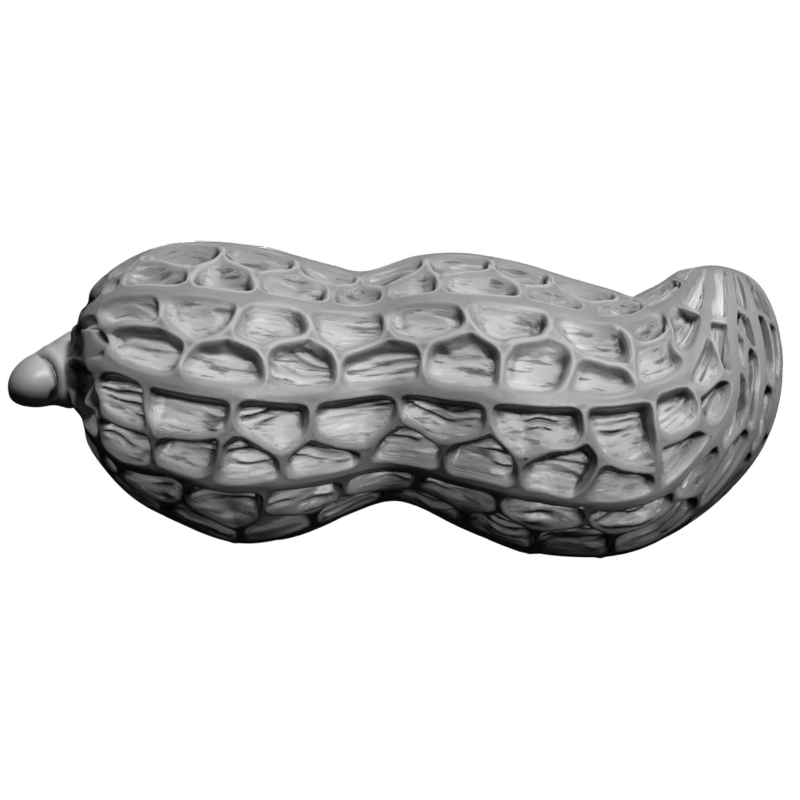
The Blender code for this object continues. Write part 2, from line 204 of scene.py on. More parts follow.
pod = {
    "bands": 10,
    "farBands": {3: 1, 4: 0, 5: 9, 6: 8},  # far side bands and the near ones they mirror
    "farShift": 1.7,                       # the mirrored cells move this far along, mm,
    "farRun": 44.0,                        # most of all in the middle of this length
    "shellStation": 7.4,                   # where the stub ends and the shell starts
    "netStart": 0.35,                      # first and last place of the net, mm
    "netEnd": 44.8,
    "turnedFrom": 39.5,                    # past this cells are deepest on their other side
    "facetRib": 0.32,                      # plain facet by the stub: its rib coordinate,
    "facetHalf": 0.30,                     # its half width in bands
    "facetRun": 3.0,                       # and its length, mm
    "ribHalf": 0.33,                       # half width of a rib's top, mm
    "ribCrown": 0.09,                      # how round a rib's top is
    "netHalf": 0.05,                       # half width of a septum's top
    "netGain": 0.18,                       # more of it where the ribs converge
    "wallSteep": 0.58,                     # cell wall on its upper side
    "wallGentle": 1.30,                    # and on its lower side
    "wallStem": 0.80,                      # wall at the stem end of a cell
    "wallBeak": 0.40,                      # and at its beak end
    "meanBand": 4.6,                       # mm across a band, for the streaks
    "fullBand": 3.6,                       # bands narrower than this have a finer net
    "cornerBlend": 0.85,                   # how far the corners of a cell are rounded
    "cellDepth": 0.72,
    "scoopLow": 4.0,                       # under this height, in degrees, cells are deepest
    "scoopHigh": 44.0,                     # at their upper wall, over this at their lower
    "moat": 0.42,                          # the floor rises again this far from the ridges
    "plate": 0.12,                         # by this much
    "flatDepth": 0.18,                     # cut off the lowest ridges to stand on
    "bandSteps": 72,                       # grid columns in a band
    "rows": 760,                           # grid rows from stub to beak
    "triangles": 198000,                   # the grid is thinned to this many
    "wander": 0.16,                        # how far ridges stray from straight, mm
    "streakDepth": 0.23,                   # layered wrinkles on the cell floors, mm
    "streakStep": 0.58,                    # from one layer to the next
    "lip": 0.035,                          # raised edge of the ridges
    "pitDepth": 0.42,                      # pits among the first cells
    "mouthDepth": 0.85,                    # ring of hollows round the stub's root
    "mouthPlace": 0.42,                    # how far along the shell it lies
    "mouthHalf": 0.50,                     # and how far it spreads
    "neckDepth": 0.18,                     # groove where the stub leaves the shell
    "lobeX": -21.78,                       # middle of the stub's round lobe, mm
    "lobeZ": 0.24,
    "lobeHalf": 1.62,                      # its half width
    "lobeCrease": 0.26,                    # crease round it
    "lobeSwell": 0.20,                     # how far it stands out
}

tones = {
    "shallow": 0.32,   # painted light: a cell's floor is lighter by this at its shallow corner
    "fall": 0.54,      # and painted shade takes this much of it away towards its deep one
    "pit": 0.70,       # shade in the pits, of the root's dark
    "root": 0.26,      # and over the first two millimetres of the shell
    "wall": 0.40,      # the walls just over the middle of the side get this much less painted shade
    "underLift": 0.34,  # past the waist the painted shade on the underside's floors reaches higher by this
    "top": 0.60,       # and the floors on the top have this much of that painted shade
}

noRidge = 9.0  # mm, more than any distance to a ridge
latticeSize = 128  # random numbers each way before valueNoise repeats
blurSteps = np.linspace(-0.7, 0.7, 7)  # mm, the zig-zag is blurred for the place in a cell


def splineMoments(values):  # second differences of the smooth curve through the rows
    count = len(values)
    matrix = np.zeros((count, count))
    right = np.zeros_like(values)
    matrix[0, 0] = matrix[-1, -1] = 1.0
    for i in range(1, count - 1):
        matrix[i, i - 1:i + 2] = (1.0, 4.0, 1.0)
        right[i] = 6.0 * (values[i + 1] - 2.0 * values[i] + values[i - 1])
    return np.linalg.solve(matrix, right)


def mirroredEnds(rows):  # the stations run on past both tips with radii turned over
    before = rows[2:0:-1].copy()
    after = rows[-2:-4:-1].copy()
    before[:, 3:] *= -1.0
    after[:, 3:] *= -1.0
    return np.concatenate([before, rows, after])


knots = mirroredEnds(stations)
moments = splineMoments(knots)


def sectionAt(t):  # cubic through the knots on either side of station number t
    t = np.asarray(t, float) + 2.0
    i = np.clip(np.floor(t).astype(int), 0, len(knots) - 2)
    f = (t - i)[..., None]
    g = 1.0 - f
    return (g * knots[i] + f * knots[i + 1]
            + (g ** 3 - g) * moments[i] / 6.0 + (f ** 3 - f) * moments[i + 1] / 6.0)


def place(t, angle):  # ellipse of the leaning section: middle + cos on -Y + sin on its up
    section = sectionAt(t)
    lean = np.radians(section[..., 2])
    rise = section[..., 3] * np.sin(angle)
    return np.stack([
        section[..., 0] - np.sin(lean) * rise,
        -section[..., 4] * np.cos(angle),
        section[..., 1] + np.cos(lean) * rise,
    ], axis=-1)


def ribAngles(s, q):  # even rib angle plus the swing blended between the two ribs
    columns = np.stack(
        [np.interp(s, ribSwing[:, 0], ribSwing[:, k + 1]) for k in range(pod["bands"])], axis=-1)
    low = np.floor(q).astype(int)
    part = q - low
    ten = pod["bands"]
    shift = columns[:, low % ten] * (1.0 - part) + columns[:, (low + 1) % ten] * part
    return np.radians(360.0 / ten * q[None, :] + shift)


def smoothStep(x):  # 0 below 0, 1 above 1, 3x^2 - 2x^3 between
    x = np.clip(x, 0.0, 1.0)
    return x * x * (3.0 - 2.0 * x)


def smoothMin(a, b, blend):  # lesser of two values, the corner rounded over blend
    h = np.clip(0.5 + 0.5 * (b - a) / blend, 0.0, 1.0)
    return b + (a - b) * h - blend * h * (1.0 - h)


def bell(x, middle, half):  # 1 at the middle, falling away on both sides
    return np.exp(-((x - middle) / half) ** 2)


def valueNoise(u, v, seed):  # random numbers on a lattice, blended smoothly, -1 to 1
    lattice = np.random.default_rng(seed).uniform(-1.0, 1.0, (latticeSize, latticeSize))
    iu = np.floor(u).astype(int)
    iv = np.floor(v).astype(int)
    fu = smoothStep(u - iu)
    fv = smoothStep(v - iv)
    a = lattice[iu % latticeSize, iv % latticeSize]
    b = lattice[(iu + 1) % latticeSize, iv % latticeSize]
    c = lattice[iu % latticeSize, (iv + 1) % latticeSize]
    d = lattice[(iu + 1) % latticeSize, (iv + 1) % latticeSize]
    return (a * (1 - fu) + b * fu) * (1 - fv) + (c * (1 - fu) + d * fu) * fv


def bandNet(band):
    if band in bandNets:
        return bandNets[band]
    near = bandNets[pod["farBands"][band]]

    def moved(s):
        return s + pod["farShift"] * math.sin(math.pi * min(max(s / pod["farRun"], 0.0), 1.0))

    def turned(septa):
        return [(moved(foot), moved(end), 1.0 - across) for foot, end, across in septa]

    return {
        "cross": [(moved(upper), moved(lower)) for lower, upper in near["cross"]],
        "run": tuple(moved(s) for s in near["run"]),
        "up": turned(near["low"]),
        "low": turned(near["up"]),
    }


def zigzagPath(net):  # it turns at the far end of each septum
    runStart, runEnd = net["run"]
    ends = sorted([(end, part) for _, end, part in net["up"] + net["low"]])
    path = [(runStart, 0.5)] + [p for p in ends if runStart < p[0] <= runEnd]
    if runEnd > path[-1][0] + 0.3:
        path.append((runEnd, 0.5))
    return path


def segmentDistance(s, f, along, across, start, end):  # mm from each point to one ridge line
    px = (s - start[0]) * along
    py = (f - start[1]) * across
    dx = (end[0] - start[0]) * along
    dy = (end[1] - start[1]) * across
    t = np.clip((px * dx + py * dy) / np.maximum(dx * dx + dy * dy, 1e-9), 0.0, 1.0)
    return np.hypot(px - t * dx, py - t * dy)


def septaDistances(net, s, f, along, across, above):
    # Distance to the nearest septum on the stem side of each point, the same on its beak side,
    # and how many septa of the lower and of the upper row lie on the stem side.
    septa = [((foot, 0.0), (end, part), above <= 0.0) for foot, end, part in net["low"]]
    septa += [((foot, 1.0), (end, part), above > 0.0) for foot, end, part in net["up"]]
    bothRows = np.ones(s.shape, bool)
    septa += [((lower, 0.0), (upper, 1.0), bothRows) for lower, upper in net["cross"]]
    stemSide = np.full(s.shape, noRidge)
    beakSide = np.full(s.shape, noRidge)
    passed = [np.zeros(s.shape), np.zeros(s.shape)]
    for start, end, sameRow in septa:
        reach = np.clip((f - start[1]) / (end[1] - start[1]), 0.0, 1.0)
        after = s > start[0] + (end[0] - start[0]) * reach
        distance = segmentDistance(s, f, along, across, start, end)
        distance = np.where(sameRow, distance, noRidge)
        stemSide = np.where(after, np.minimum(stemSide, distance), stemSide)
        beakSide = np.where(after, beakSide, np.minimum(beakSide, distance))
        passed[int(start[1])] += after
    return stemSide, beakSide, passed


def wallCurve(x):  # 0 at a ridge's edge to 1 at the foot of its wall, steepest near the edge
    x = np.clip(x, 0.0, 1.0)
    return 0.55 * x * (2.0 - x) + 0.45 * smoothStep(x)


def bandRelief(s, f, along, across, band, front):
    # Depth 0 to 1 of a band's cells: the wall curves over the distances to the ribs, to the
    # zig-zag and to the septa on either side, multiplied, so that the corners come out round.
    # Also the least distance to a ridge, the place in the cell, 0 at its lower wall and 1 at
    # its upper, the same from its stem end to its beak end, and a cell number.
    net = bandNet(band)
    path = zigzagPath(net)

    mmUp = f * across
    keep = 4.0 * f * (1.0 - f)  # the ribs themselves don't stray
    strayS = valueNoise(s * 0.9 + 3.0, mmUp * 0.8 + 9.0 * band, 11)
    strayF = valueNoise(s * 0.7 + 7.0, mmUp * 0.6 + 9.0 * band, 12) * keep
    vary = 1.0 + 0.30 * valueNoise(s * 0.55, mmUp * 0.5 + 5.0 * band, 13)
    s = s + pod["wander"] * strayS / np.maximum(along, 0.3)
    f = f + pod["wander"] * strayF / np.maximum(across, 0.3)

    turns = [p[0] for p in path]
    parts = [p[1] for p in path]
    above = f - np.interp(s, turns, parts)  # over 0 in the upper row
    middle = np.mean([np.interp(s + d, turns, parts) for d in blurSteps], axis=0)
    zigzag = np.full(s.shape, noRidge)
    for start, end in zip(path[:-1], path[1:]):
        zigzag = np.minimum(zigzag, segmentDistance(s, f, along, across, start, end))
    stemSide, beakSide, passed = septaDistances(net, s, f, along, across, above)
    cell = np.where(above > 0.0, 20.0 + passed[1], passed[0]) + 50.0 * band

    size = np.clip(across / pod["fullBand"], 0.2, 1.0)  # all widths shrink where ribs converge
    mean = 0.5 * (pod["wallSteep"] + pod["wallGentle"])
    half = 0.5 * (pod["wallGentle"] - pod["wallSteep"])
    ribHalf = np.minimum(pod["ribHalf"], 0.21 * across) * vary
    netHalf = (pod["netHalf"] + pod["netGain"] * (1.0 - size)) * vary
    netHalf = np.minimum(netHalf, 0.11 * across)
    size = size * (0.45 + 0.55 * size)
    toUpper = ((1.0 - f) * across - ribHalf) / size
    toLower = (f * across - ribHalf) / size
    toZigzag = (zigzag - netHalf) / size
    toStem = (stemSide - netHalf) / size
    toBeak = (beakSide - netHalf) / size
    depth = wallCurve(toUpper / (mean - half * front)) * wallCurve(toLower / (mean + half * front))
    depth = depth * wallCurve(toZigzag / (mean + half * front * np.sign(above)))
    depth = depth * wallCurve(toStem / pod["wallStem"]) * wallCurve(toBeak / pod["wallBeak"])
    nearest = smoothMin(np.minimum(toUpper, toLower), toZigzag, pod["cornerBlend"])
    nearest = smoothMin(nearest, np.minimum(toStem, toBeak), pod["cornerBlend"])
    depth = depth * wallCurve(nearest / 0.30)

    upCell = np.where(
        above > 0.0, (f - middle) / np.maximum(1.0 - middle, 0.1), f / np.maximum(middle, 0.1))
    upCell = 0.5 + (np.clip(upCell, 0.0, 1.0) - 0.5) * front
    alongCell = stemSide / np.maximum(stemSide + beakSide, 0.1)
    return depth, nearest, upCell, alongCell, cell


def layeredStreaks(s, up, cell, upCell, alongCell):
    # Shingle-like layers along the cell: a saw wave across, its phase bent by slow noise, so
    # each layer steps out sharply and falls back slowly. They show in the deep part of the
    # cell and towards its beak end, where slow noise lets them.
    shift = cell * 0.37
    bend = valueNoise(s * 0.30 + shift, up * 0.5 + cell * 1.3, 21)
    fineBend = valueNoise(s * 0.9 + shift, up * 1.4 + cell * 0.7, 22)
    phase = up / pod["streakStep"] + 1.2 * bend + 0.28 * fineBend + 0.31 * cell
    wave = phase - np.floor(phase)
    step = smoothStep(wave / 0.28) * (1.0 - smoothStep((wave - 0.28) / 0.72))
    slow = valueNoise(s * 0.50 + cell * 2.1, up * 0.9 + shift, 23)
    shown = smoothStep((0.75 * upCell + 0.35 * alongCell + 0.55 * slow - 0.42) / 0.45)
    fine = valueNoise(s * 0.6 + shift, up * 5.0 + cell, 24)
    return step * shown + 0.22 * fine


def scoopSide(s, angle):  # 1 where cells are deepest towards the next rib, -1 towards the last
    height = np.degrees(np.arcsin(np.sin(angle)))
    turned = smoothStep((height - pod["scoopLow"]) / (pod["scoopHigh"] - pod["scoopLow"]))
    facingUs = np.clip(4.0 * np.cos(angle), -1.0, 1.0)
    atBeak = smoothStep((s - pod["turnedFrom"]) / 2.0)
    return facingUs * (1.0 - 2.0 * turned) * (1.0 - atBeak) - atBeak * facingUs


def podRows():  # station numbers of the grid rows and their places along the shell, mm
    samples = np.linspace(0.0, len(stations) - 1.0, 8000)
    middle = sectionAt(samples)
    middleSteps = np.hypot(np.diff(middle[:, 0]), np.diff(middle[:, 1]))
    middleRun = np.concatenate([[0.0], np.cumsum(middleSteps)])
    middleRun -= np.interp(pod["shellStation"], samples, middleRun)

    side = place(samples, np.zeros_like(samples))
    sideSteps = np.linalg.norm(np.diff(side, axis=0), axis=1)
    sideRun = np.concatenate([[0.0], np.cumsum(sideSteps)])
    rowT = np.interp(np.linspace(0.0, sideRun[-1], pod["rows"] + 1), sideRun, samples)
    return rowT, np.interp(rowT, samples, middleRun)


def podGrid():
    # The smooth pod: places s along and q round it, its points, the steps to the next row and
    # across two columns, mm per unit of s and q, and its normals.
    rowT, rowS = podRows()
    steps = pod["bandSteps"]
    columns = pod["bands"] * steps
    q = np.arange(columns) / steps - pod["bands"] // 2  # the seam lies on the far side's rib
    angle = ribAngles(rowS, q)
    points = place(np.repeat(rowT[:, None], columns, axis=1), angle)
    down = np.gradient(points, axis=0)
    roundIt = np.roll(points, -1, axis=1) - np.roll(points, 1, axis=1)
    normal = np.cross(down, roundIt)
    s = np.repeat(rowS[:, None], columns, axis=1)
    return SimpleNamespace(
        s=s, q=q, angle=angle, points=points, front=scoopSide(s, angle),
        down=np.linalg.norm(down, axis=2), roundIt=np.linalg.norm(roundIt, axis=2),
        along=np.linalg.norm(down, axis=2) / np.maximum(np.gradient(rowS), 1e-6)[:, None],
        across=np.linalg.norm(roundIt, axis=2) * steps / 2.0,
        normal=normal / np.maximum(np.linalg.norm(normal, axis=2, keepdims=True), 1e-9))


def podCells(grid):  # the reliefs of all bands, side by side on the grid
    shape = grid.s.shape
    steps = pod["bandSteps"]
    raw, nearest, upCell, alongCell, cell = [np.zeros(shape) for _ in range(5)]
    up = np.zeros(shape)
    for turn in range(pod["bands"]):
        part = slice(turn * steps, (turn + 1) * steps)
        f = np.repeat((grid.q[part] - np.floor(grid.q[part]))[None, :], shape[0], axis=0)
        band = (turn - pod["bands"] // 2) % pod["bands"]
        relief = bandRelief(
            grid.s[:, part], f, grid.along[:, part], grid.across[:, part], band,
            grid.front[:, part])
        for whole, strip in zip((raw, nearest, upCell, alongCell, cell), relief):
            whole[:, part] = strip
        up[:, part] = f * pod["meanBand"]
    return SimpleNamespace(
        raw=raw, nearest=nearest, upCell=upCell, alongCell=alongCell, cell=cell, up=up)


def netFade(grid):  # 1 under the net, 0 past its ends, on the facet and where ribs converge
    facet = bell(grid.q[None, :], pod["facetRib"], pod["facetHalf"])
    fade = smoothStep((grid.s - pod["netStart"] - pod["facetRun"] * facet) / 0.6)
    fade = fade * smoothStep((pod["netEnd"] - grid.s) / 0.9)
    return fade * smoothStep((grid.across - 0.3) / 0.5)


def netDepth(grid, cells, own, fade, inner, toRib):  # how deep cells, floors and streaks lie
    front = grid.front
    size = np.clip(grid.across / pod["fullBand"], 0.2, 1.0)
    sunk = cells.raw * fade
    scoop = 0.20 + (1.0 + 0.25 * np.abs(front)) * cells.upCell + 0.36 * cells.alongCell
    scoop = scoop + 0.08 * own
    moatNoise = valueNoise(grid.s * 1.1 + cells.cell, cells.up * 1.3, 31)
    plate = smoothStep((cells.nearest - pod["moat"] - 0.14 * moatNoise) / 0.26) * fade
    plate = plate * (1.0 - 0.9 * smoothStep((np.abs(front) - 0.5) / 0.4))
    nearSide = np.abs(grid.q - 0.5) < 2.5  # the bands that face -Y and the top one
    up = np.where(nearSide, cells.up, -cells.up)
    streaks = layeredStreaks(grid.s, up, cells.cell, cells.upCell, cells.alongCell)
    lip = bell(cells.nearest, -0.04, 0.10) * fade
    depth = pod["cellDepth"] * sunk * scoop
    depth = depth - pod["plate"] * plate * (0.9 + 0.5 * own)
    deepSide = 0.35 + 0.65 * np.clip(front, 0, 1) ** 2
    depth = depth - pod["streakDepth"] * streaks * inner * deepSide
    depth = (depth - pod["lip"] * lip) * size ** 0.7
    crown = bell(toRib, 0.0, np.clip(0.2 * grid.across, 0.02, 0.34))
    return depth - pod["ribCrown"] * (crown - 0.35) * size * fade


def pitMask(grid):  # 1 in the pits round the stub's root
    pit = np.zeros(grid.s.shape)
    for spot, rib, halfAlong, halfRound, slant in pits:
        aside = grid.q[None, :] - rib - slant * (grid.s - spot)
        reach = ((grid.s - spot) / halfAlong) ** 2 + (aside / halfRound) ** 2
        pit = np.maximum(pit, 1.0 - smoothStep((np.sqrt(reach) - 0.20) / 1.05))
    return pit


def lobeDepth(grid):  # the stub's round lobe stands out inside a crease, on the beak's side
    fromLobe = grid.points[..., 0] - pod["lobeX"]
    up = grid.points[..., 2] - pod["lobeZ"]
    lobe = np.hypot(fromLobe / pod["lobeHalf"], up / pod["lobeHalf"])
    onSide = smoothStep((np.abs(np.cos(grid.angle)) - 0.15) / 0.5)
    crease = bell(lobe, 1.0, 0.09) * smoothStep((fromLobe + 0.1) / 1.3)
    swell = np.clip(1.0 - lobe ** 2, 0.0, 1.0) + 0.5 * bell(lobe, 1.32, 0.16) * onSide
    return (pod["lobeCrease"] * crease * onSide - pod["lobeSwell"] * swell) * (grid.s < 0)


def podSurface():
    grid = podGrid()
    cells = podCells(grid)
    spread = np.random.default_rng(5).uniform(-1.0, 1.0, 600)
    own = spread[cells.cell.astype(int) % 600]  # one random number for each cell
    fade = netFade(grid)
    inner = smoothStep((cells.nearest - 0.12) / 0.26) * fade
    toRib = np.abs(grid.q - np.round(grid.q))[None, :] * grid.across
    depth = netDepth(grid, cells, own, fade, inner, toRib)

    betweenRibs = smoothStep((toRib - 0.16) / 0.34)
    jag = 0.30 * valueNoise(grid.q[None, :] * 3.0 + 11.0, grid.s * 0.8, 41)
    mouthPlace = pod["mouthPlace"] + 0.36 * np.cos(grid.angle) ** 2 + jag
    mouth = bell(grid.s, mouthPlace, pod["mouthHalf"])
    pit = pitMask(grid)
    neck = bell(grid.s, 0.02, 0.16) * (0.75 + 0.25 * np.sin(3.0 * grid.angle + 1.0))
    depth = depth + pod["mouthDepth"] * mouth * (0.35 + 0.65 * betweenRibs)
    depth = depth + pod["pitDepth"] * pit + lobeDepth(grid) + pod["neckDepth"] * neck
    points = grid.points - grid.normal * depth[..., None]

    # painted shade: the hollows, pits and first two millimetres of the shell round the stub go
    # dark
    root = smoothStep((2.2 - grid.s) / 1.6) * (grid.s > 0)
    stemShade = np.maximum.reduce(
        [mouth * (0.6 + 0.4 * betweenRibs), tones["pit"] * pit, tones["root"] * root])
    fields = toneFields(grid, cells, own, inner, points, depth)
    fields["stemShade"] = stemShade
    return points, depth, fields


def toneFields(grid, cells, own, inner, points, depth):  # what the material reads at each point
    slopeDown = np.gradient(depth, axis=0) / np.maximum(grid.down, 1e-4)
    slopeRound = (np.roll(depth, -1, axis=1) - np.roll(depth, 1, axis=1)) / np.maximum(
        grid.roundIt, 1e-4)
    steep = np.hypot(slopeDown, slopeRound)
    outward = np.cross(np.gradient(points, axis=0), np.roll(points, -1, axis=1) - points)
    facingUp = outward[..., 2] / np.maximum(np.linalg.norm(outward, axis=2), 1e-9)

    height = np.sin(grid.angle)  # -1 underneath, 1 on top
    upCell = 0.5 + (cells.upCell - 0.5) * np.clip(grid.front, 0.0, 1.0)
    deepCorner = smoothStep((0.5 * (upCell + cells.alongCell) - 0.22) / 0.6)
    # painted shade on walls that face down, strongest under the middle of the side
    ledge = smoothStep((-facingUp - 0.36) / 0.24) * smoothStep((steep - 0.3) / 0.5)
    # painted shade for the floors underneath, reaching higher past the waist
    pastWaist = smoothStep((grid.s - 16.0) / 8.0)
    under = smoothStep((tones["underLift"] * pastWaist - height - 0.30) / 0.60)
    overMiddle = smoothStep((height - 0.05) / 0.15) * smoothStep((0.60 - height) / 0.15)
    return {
        # painted light and shade on the floors: lighter at a cell's shallow corner, darker towards
        # its deep one
        "cellLightShade": 1.0 + inner * (tones["shallow"] - tones["fall"] * deepCorner),
        "floorMask": inner,
        "ownTone": own * inner,
        "steepMask": steep,
        "stubMask": smoothStep((-0.10 - grid.s) / 0.35),
        "ledgeShadeMask": ledge * (0.25 + 0.75 * smoothStep((0.16 - height) / 0.16)),
        "runAlong": grid.s,
        "runAcross": cells.up,
        # painted shade: floors darker on the underside and on the top
        "floorShadeMask": under + tones["top"] * smoothStep((height - 0.55) / 0.30),
        # painted highlight: ridge edges lighter from a little under the middle upwards, not near
        # the stub
        "highlightMask": smoothStep((height + 0.15) / 0.40) * smoothStep((grid.s - 3.0) / 1.5),
        # how much of the painted shade on walls is kept, less just over the middle of the side
        "wallShade": 1.0 - tones["wall"] * overMiddle,
    }


def blurred(field, size):  # mean over a square window, wrapping round the pod
    out = field
    for axis in (0, 1):
        total = np.zeros_like(out)
        for k in range(-size, size + 1):
            total += np.roll(out, k, axis=axis)
        out = total / (2 * size + 1)
    return out


def podMesh():
    points, depth, fields = podSurface()
    fields["cavity"] = depth - blurred(depth, 4)  # above 0 in hollows, below 0 on edges
    rows, columns = points.shape[:2]
    points[0, :] = points[0].mean(axis=0)
    points[-1, :] = points[-1].mean(axis=0)

    def flat(field):  # one value for each pole, then the rows between
        return np.concatenate([[field[0].mean()], field[1:-1].ravel(), [field[-1].mean()]])

    xyz = np.concatenate([points[:1, 0], points[1:-1].reshape(-1, 3), points[-1:, 0]])
    ids = 1 + np.arange((rows - 2) * columns).reshape(rows - 2, columns)
    right = np.roll(ids, -1, axis=1)
    quads = np.stack([ids[:-1], ids[1:], right[1:], right[:-1]], axis=-1).reshape(-1, 4)
    first = np.stack([np.zeros(columns, int), ids[0], right[0]], axis=-1)
    last = np.stack([np.full(columns, len(xyz) - 1), right[-1], ids[-1]], axis=-1)

    mesh = bpy.data.meshes.new("peanutPod")
    mesh.vertices.add(len(xyz))
    mesh.vertices.foreach_set("co", (xyz * mm).ravel())
    loops = np.concatenate([first.ravel(), quads.ravel(), last.ravel()])
    starts = np.concatenate([
        3 * np.arange(columns),
        3 * columns + 4 * np.arange(len(quads)),
        3 * columns + 4 * len(quads) + 3 * np.arange(columns),
    ])
    mesh.loops.add(len(loops))
    mesh.loops.foreach_set("vertex_index", loops)
    mesh.polygons.add(len(starts))
    mesh.polygons.foreach_set("loop_start", starts)
    mesh.update(calc_edges=True)
    for name, field in fields.items():
        layer = mesh.attributes.new(name, "FLOAT", "POINT")
        layer.data.foreach_set("value", flat(field).astype(np.float32))
    return mesh


def thinned(piece, triangles):  # the same piece with this many triangles
    mesh = piece.data
    mesh.calc_loop_triangles()
    thin = piece.modifiers.new("thin", "DECIMATE")
    thin.ratio = triangles / len(mesh.loop_triangles)
    made = piece.evaluated_get(bpy.context.evaluated_depsgraph_get())
    result = bpy.data.meshes.new_from_object(made)
    piece.modifiers.clear()
    piece.data = result
    bpy.data.meshes.remove(mesh)


def placedPod():  # centred on the solid along X and stood on its lowest ridges, cut flat
    piece = bpy.data.objects.new("peanutPod", podMesh())
    bpy.context.scene.collection.objects.link(piece)
    thinned(piece, pod["triangles"])
    mesh = piece.data
    xyz = np.empty(len(mesh.vertices) * 3)
    mesh.vertices.foreach_get("co", xyz)
    xyz = xyz.reshape(-1, 3)
    low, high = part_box("peanut")
    centre = 0.5 * (xyz[:, 0].min() + xyz[:, 0].max())
    drop = xyz[:, 2].min() + pod["flatDepth"] * mm
    shift = np.array([0.5 * (low[0] + high[0]) - centre, 0.0, -drop])
    xyz += shift
    xyz[:, 2] = np.maximum(xyz[:, 2], 0.0)
    mesh.vertices.foreach_set("co", xyz.ravel())
    mesh.update()
    mesh.shade_smooth()
    return piece, shift


piece, podShift = placedPod()
print("pod", len(piece.data.polygons), "faces, moved by", podShift)


shellLook = {
    "ridge": 0.40,          # grey of the ribs and ridges
    "floor": 0.57,          # of the cell floors
    "shadedFloor": 0.23,     # painted shade of the floors on the underside and on the top
    "rim": 0.70,            # painted highlight on the convex edges of the ridges
    "stub": 0.62,           # of the stem stub
    "paintedShade": 0.012,       # painted shade: near black on steep walls, in deep corners and under ledges
    "root": 0.008,          # painted shade in the hollows round the stub
    "paleLine": 0.85,       # of the light fibre lines on the floors
    "darkLine": 0.10,       # and of the dark ones
    "mottle": 0.10,         # how much the grey wanders
    "mottleSize": 420.0,    # per metre
    "specular": 0.20,       # level of the shine
    "satin": 0.42,          # roughness on the ridges
    "deep": 0.34,           # on the dark walls
    "polish": 0.05,         # and how much less on the stub
    "grainSize": 5200.0,    # fine grain, per metre
    "grainHeight": 0.000012,
    "lineAlong": 0.55,      # fibre lines, per mm along the pod
    "lineAcross": 3.4,      # and across it
    "lineHeight": 0.00006,  # metres
}


